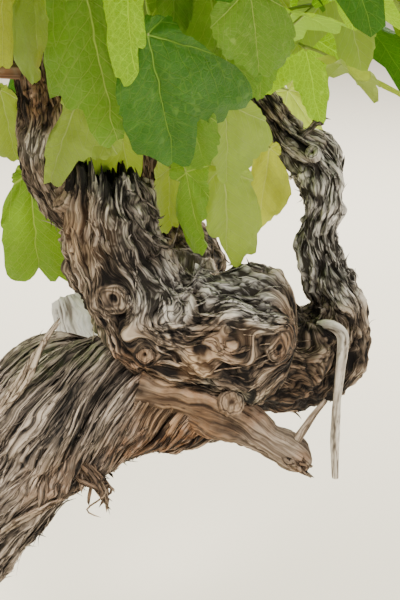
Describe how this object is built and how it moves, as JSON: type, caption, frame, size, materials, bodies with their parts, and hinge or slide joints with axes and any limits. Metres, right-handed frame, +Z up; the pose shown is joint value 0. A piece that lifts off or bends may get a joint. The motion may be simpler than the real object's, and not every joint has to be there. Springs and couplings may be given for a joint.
{
  "type": "grapevine",
  "caption": "Old bush-trained grapevine in leaf: a leaning gnarled trunk with a swollen head, short twisted arms, a dead spur and spreading leafy shoots.",
  "frame": {"origin": "the middle of the flat cut under the trunk, at ground level", "axes": "+Z up, +Y to the back, +X to the right, the way that the trunk leans"},
  "size_m": [0.972, 1.007, 1.1684],
  "materials": {
    "bark": "fibrous, peeling, rough grey-brown bark",
    "weathered_wood": "bare wood weathered to pale grey and tan",
    "foliage": "thin green leaves, satin above and dull below"
  },
  "bodies": {
    "root": {"trunk": "bark", "fist": "bark", "arm_left": "bark", "spur_left": "bark", "right_base": "bark", "arm_right": "bark", "arm_back": "bark", "arm_far_left": "bark", "dead_spur": "weathered_wood", "dead_twig": "weathered_wood", "hook": "weathered_wood", "back_left": "weathered_wood", "foliage_front": "foliage", "foliage_right": "foliage", "foliage_back": "foliage", "foliage_left": "foliage"}
  },
  "joints": []
}
